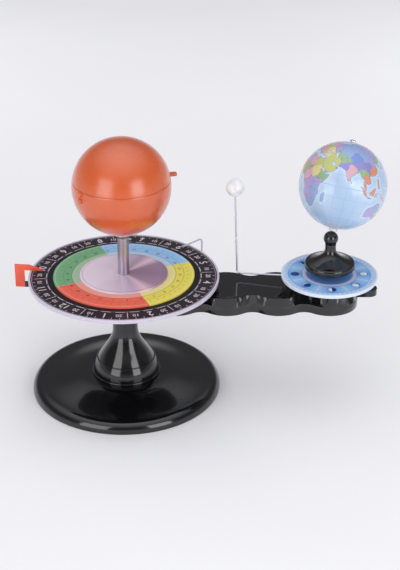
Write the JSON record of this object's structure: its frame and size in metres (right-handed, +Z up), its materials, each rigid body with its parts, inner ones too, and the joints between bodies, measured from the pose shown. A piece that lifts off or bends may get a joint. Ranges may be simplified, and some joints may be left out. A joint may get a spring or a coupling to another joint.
{
  "type": "tellurion",
  "caption": "Table tellurion: a lit Sun globe on a column, and a geared arm that carries a tilted Earth globe, a phase dial and an orbiting Moon round it.",
  "frame": {"origin": "on the table, at the centre of the base's rim, on the column's axis", "axes": "+Z up along the column, +X along the arm towards the Earth at rest"},
  "size_m": [0.4038, 0.2122, 0.297],
  "materials": {
    "black_gloss": "black moulded plastic, glossy",
    "black_satin": "black moulded plastic, fine texture",
    "steel": "plain steel",
    "tube_metal": "satin grey tube",
    "bright_metal": "bright plated",
    "brass": "plain brass",
    "iron": "raw cast",
    "gear_plastic": "natural moulded plastic",
    "lamp_white": "white heat-proof plastic",
    "dial_pale": "pale moulded plastic",
    "season_print": "dark printed and coated card",
    "season_colours": "plastic printed in four season colours",
    "silver_plate": "spun satin sheet",
    "phase_print": "blue printed and coated card",
    "sun_orange": "orange, glossy, lets light through",
    "pointer_red": "red moulded plastic",
    "globe_print": "printed globe, glossy",
    "moon_white": "white moulded plastic",
    "bulb_glass": "clear lamp glass",
    "cell_wrap": "plain cell sleeve",
    "lead_wire": "insulated wire",
    "knob_grey": "grey moulded plastic"
  },
  "bodies": {
    "stand": {"base_shell": "black_gloss", "base_cover": "black_satin", "cover_screws": "steel", "battery_door": "black_satin", "battery_cells": "cell_wrap", "battery_contacts": "brass", "base_weight": "iron", "switch_body": "black_satin", "pedestal": "black_gloss", "pedestal_screws": "steel", "lamp_tube": "tube_metal", "lamp_leads": "lead_wire", "thrust_washer": "gear_plastic", "centre_gear": "gear_plastic", "dial_hub": "black_gloss", "season_dial": "dial_pale", "season_card": "season_print", "season_ring": "season_colours", "centre_plate": "silver_plate", "sun_collar": "bright_metal", "lamp_socket": "lamp_white", "bulb_base": "brass", "bulb_glass": "bulb_glass", "sun_lower_shell": "sun_orange"},
    "power_knob": {"switch_knob": "knob_grey"},
    "sun_cap": {"sun_upper_shell": "sun_orange"},
    "arm": {"arm_case_lower": "black_gloss", "arm_case_upper": "black_gloss", "arm_screws": "steel", "hub_bushes": "brass", "idler_pins": "steel", "lay_pin": "steel", "bridge_plate": "steel", "dial_post": "steel", "phase_dial": "dial_pale", "phase_card": "phase_print", "date_pointer": "pointer_red", "wire_pointer": "steel", "pointer_screws": "steel"},
    "first_idler": {"idler_gear_1": "gear_plastic"},
    "second_idler": {"idler_gear_2": "gear_plastic"},
    "third_idler": {"idler_gear_3": "gear_plastic"},
    "earth_carrier": {"earth_gear": "gear_plastic", "earth_spindle": "steel", "earth_support": "black_gloss", "axis_collar": "black_gloss", "axis_rod": "steel", "north_cap": "bright_metal"},
    "globe": {"globe_south": "globe_print", "globe_north": "globe_print"},
    "lay_gears": {"moon_pinion": "gear_plastic", "moon_wheel": "gear_plastic"},
    "moon": {"moon_gear": "gear_plastic", "moon_hub": "black_gloss", "moon_wire": "steel", "moon_ball": "moon_white"}
  },
  "joints": [
    {"name": "arm_turn", "type": "hinge", "parent": "stand", "child": "arm", "pos_m": [0, 0, 0.105], "axis": [0, 0, 1], "continuous": true},
    {"name": "idler_1_spin", "type": "hinge", "parent": "arm", "child": "first_idler", "pos_m": [0.056, 0, 0.105], "axis": [0, 0, 1], "continuous": true},
    {"name": "idler_2_spin", "type": "hinge", "parent": "arm", "child": "second_idler", "pos_m": [0.112, 0, 0.105], "axis": [0, 0, 1], "continuous": true},
    {"name": "idler_3_spin", "type": "hinge", "parent": "arm", "child": "third_idler", "pos_m": [0.168, 0, 0.105], "axis": [0, 0, 1], "continuous": true},
    {"name": "earth_carry", "type": "hinge", "parent": "arm", "child": "earth_carrier", "pos_m": [0.224, 0, 0.105], "axis": [0, 0, 1], "continuous": true},
    {"name": "lay_spin", "type": "hinge", "parent": "arm", "child": "lay_gears", "pos_m": [0.20023, 0.01172, 0.105], "axis": [0, 0, 1], "continuous": true},
    {"name": "moon_orbit", "type": "hinge", "parent": "arm", "child": "moon", "pos_m": [0.224, 0, 0.105], "axis": [0, 0, 1], "continuous": true},
    {"name": "globe_spin", "type": "hinge", "parent": "earth_carrier", "child": "globe", "pos_m": [0.224, 0, 0.183], "axis": [0.2113, 0.3382, 0.9171], "continuous": true},
    {"name": "sun_cap_lift", "type": "slide", "parent": "stand", "child": "sun_cap", "axis": [0, 0, 1], "range_m": [0, 0.07]},
    {"name": "power_switch", "type": "slide", "parent": "stand", "child": "power_knob", "axis": [1, 0, 0], "range_m": [0, 0.004]}
  ],
  "couplings": [
    {"joint": "idler_1_spin", "follows": "arm_turn", "ratio": 1},
    {"joint": "idler_2_spin", "follows": "arm_turn", "ratio": -1},
    {"joint": "idler_3_spin", "follows": "arm_turn", "ratio": 1},
    {"joint": "earth_carry", "follows": "arm_turn", "ratio": -1},
    {"joint": "lay_spin", "follows": "arm_turn", "ratio": -4.4444},
    {"joint": "moon_orbit", "follows": "arm_turn", "ratio": 12.381}
  ]
}
